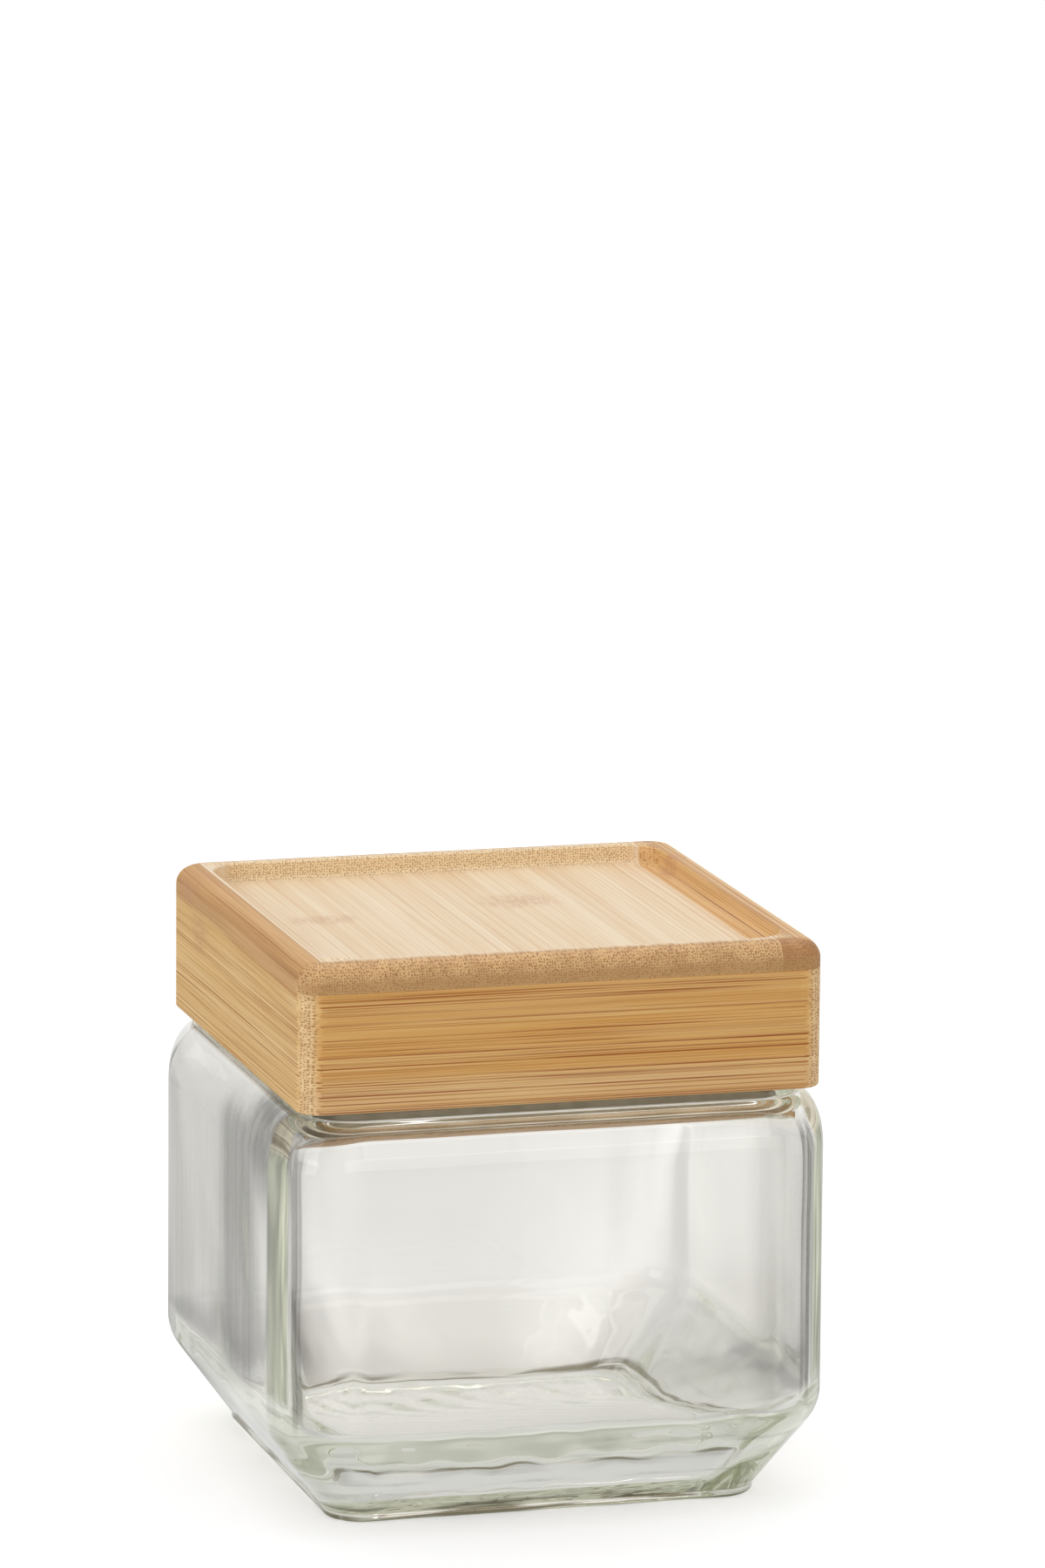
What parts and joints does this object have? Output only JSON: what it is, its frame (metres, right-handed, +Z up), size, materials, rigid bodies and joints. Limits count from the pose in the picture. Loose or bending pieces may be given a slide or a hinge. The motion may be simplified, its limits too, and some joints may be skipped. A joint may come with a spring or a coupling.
{
  "type": "square glass storage jar with bamboo lid",
  "caption": "Square clear glass storage jar with a drawn-in foot, round shoulder and a chunky laminated bamboo lid whose top is recessed so that a like jar stacks on it.",
  "frame": {"origin": "middle of the foot, on the surface that the jar stands on", "axes": "+Z up, -Y the front face seen in the picture, +X to the right of it; the top board's grain runs along Y"},
  "size_m": [0.116, 0.116, 0.1174],
  "materials": {
    "glass": "clear pressed soda-lime glass with a faint grey-green tint",
    "bamboo_frame": "satin oiled bamboo, long grain",
    "bamboo_top": "satin oiled bamboo, laminated strips",
    "bamboo_plug": "plain sanded bamboo",
    "silicone": "translucent silicone"
  },
  "bodies": {
    "jar": {"jar": "glass"},
    "lid": {"frame_front": "bamboo_frame", "frame_right": "bamboo_frame", "frame_back": "bamboo_frame", "frame_left": "bamboo_frame", "top_strip_1": "bamboo_top", "top_strip_2": "bamboo_top", "top_strip_3": "bamboo_top", "top_strip_4": "bamboo_top", "top_strip_5": "bamboo_top", "top_strip_6": "bamboo_top", "plug_board": "bamboo_plug", "seal_ring": "silicone"}
  },
  "joints": [
    {"name": "lid_lift", "type": "slide", "parent": "jar", "child": "lid", "axis": [0, 0, 1], "range_m": [0, 0.06]}
  ]
}
